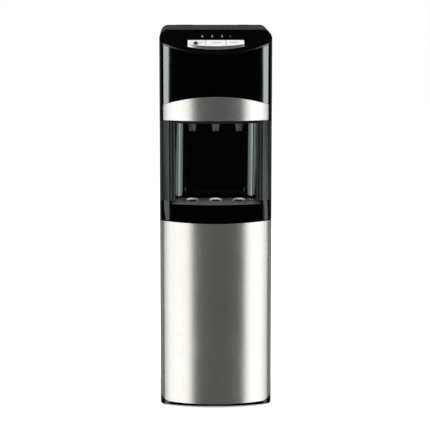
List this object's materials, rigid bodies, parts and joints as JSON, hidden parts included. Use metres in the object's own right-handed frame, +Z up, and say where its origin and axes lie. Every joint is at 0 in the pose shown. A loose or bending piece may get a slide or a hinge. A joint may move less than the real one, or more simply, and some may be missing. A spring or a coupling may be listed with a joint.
{
  "type": "bottom-loading water dispenser",
  "caption": "Floor-standing water dispenser with a bowed steel door over its bottle bay, a lit-key control deck, hot, room and cold taps in a niche, and a drip tray.",
  "frame": {"origin": "on the floor, under the middle of the machine's outline", "axes": "+X to the viewer's right, +Y to the back, +Z up"},
  "size_m": [0.31, 0.36, 1.0508],
  "materials": {
    "stainless_steel": "satin",
    "gloss_black_plastic": "gloss",
    "satin_black_plastic": "satin",
    "black_plastic": "satin",
    "grey_plastic": "satin",
    "silver_plastic": "satin",
    "red_plastic": "satin",
    "green_plastic": "satin",
    "clear_plastic": "gloss",
    "white_plastic": "satin",
    "circuit_board": "satin",
    "foam": "matte",
    "rubber": "matte",
    "painted_steel": "satin",
    "galvanised_steel": "satin",
    "copper": "satin"
  },
  "bodies": {
    "cabinet": {"base_plate": "black_plastic", "foot_front_left": "rubber", "foot_front_right": "rubber", "foot_rear_left": "rubber", "foot_rear_right": "rubber", "side_panel_left": "painted_steel", "side_panel_right": "painted_steel", "rear_panel_lower": "painted_steel", "rear_panel_upper": "painted_steel", "condenser": "painted_steel", "bottle_bay": "grey_plastic", "lower_shelf": "galvanised_steel", "upper_shelf": "galvanised_steel", "top_cover": "satin_black_plastic", "lens_hot": "clear_plastic", "lens_room": "clear_plastic", "lens_cold": "clear_plastic", "control_board": "circuit_board", "microswitch_hot": "black_plastic", "microswitch_room": "black_plastic", "microswitch_cold": "black_plastic", "upper_front_panel": "gloss_black_plastic", "steel_band": "stainless_steel", "niche_surround": "gloss_black_plastic", "niche_liner": "satin_black_plastic", "tap_hot": "black_plastic", "tap_room": "black_plastic", "tap_cold": "black_plastic", "lower_collar": "gloss_black_plastic", "hinge_bracket_lower": "galvanised_steel", "hinge_bracket_upper": "galvanised_steel", "door_catch": "black_plastic", "compressor": "painted_steel", "filter_drier": "copper", "hot_tank": "stainless_steel", "cold_tank": "stainless_steel", "tank_insulation": "foam", "evaporator_coil": "copper", "water_pump": "black_plastic", "electrics_box": "black_plastic", "bottle_probe": "white_plastic", "probe_holder": "black_plastic", "supply_hose": "white_plastic", "delivery_tube": "white_plastic", "cold_tap_tube": "white_plastic", "hot_tap_tube": "white_plastic", "room_tap_tube": "white_plastic", "discharge_tube": "copper", "suction_tube": "copper"},
    "door": {"door_skin": "stainless_steel", "door_frame": "gloss_black_plastic"},
    "tray": {"drip_tray": "gloss_black_plastic"},
    "grille": {"drip_grille": "grey_plastic"},
    "hot_key": {"key_hot": "silver_plastic"},
    "room_key": {"key_room": "silver_plastic"},
    "cold_key": {"key_cold": "silver_plastic"},
    "child_lock": {"child_lock_button": "red_plastic"},
    "hot_rocker": {"rocker_hot": "red_plastic"},
    "cold_rocker": {"rocker_cold": "green_plastic"},
    "drain_cap_body": {"drain_cap": "black_plastic"}
  },
  "joints": [
    {"name": "door_hinge", "type": "hinge", "parent": "cabinet", "child": "door", "pos_m": [-0.147, -0.114, 0.26], "axis": [0, 0, -1], "range_deg": [0, 115]},
    {"name": "tray_slide", "type": "slide", "parent": "cabinet", "child": "tray", "axis": [0, -1, 0], "range_m": [0, 0.12]},
    {"name": "grille_lift", "type": "slide", "parent": "tray", "child": "grille", "axis": [0, 0, 1], "range_m": [0, 0.008]},
    {"name": "hot_key_press", "type": "slide", "parent": "cabinet", "child": "hot_key", "axis": [0, 0, -1], "range_m": [0, 0.003], "stiffness_N_per_m": 300, "springref_m": -0.0025},
    {"name": "room_key_press", "type": "slide", "parent": "cabinet", "child": "room_key", "axis": [0, 0, -1], "range_m": [0, 0.003], "stiffness_N_per_m": 300, "springref_m": -0.0025},
    {"name": "cold_key_press", "type": "slide", "parent": "cabinet", "child": "cold_key", "axis": [0, 0, -1], "range_m": [0, 0.003], "stiffness_N_per_m": 300, "springref_m": -0.0025},
    {"name": "child_lock_press", "type": "slide", "parent": "hot_key", "child": "child_lock", "axis": [0, 0.4224, -0.9064], "range_m": [0, 0.0015], "stiffness_N_per_m": 200, "springref_m": -0.001},
    {"name": "hot_rocker_tilt", "type": "hinge", "parent": "cabinet", "child": "hot_rocker", "pos_m": [0.105, 0.17, 0.95], "axis": [1, 0, 0], "range_deg": [-8, 8]},
    {"name": "cold_rocker_tilt", "type": "hinge", "parent": "cabinet", "child": "cold_rocker", "pos_m": [0.133, 0.17, 0.95], "axis": [1, 0, 0], "range_deg": [-8, 8]},
    {"name": "drain_cap_turn", "type": "hinge", "parent": "cabinet", "child": "drain_cap_body", "pos_m": [-0.085, 0.178, 0.64], "axis": [0, 1, 0], "continuous": true}
  ]
}
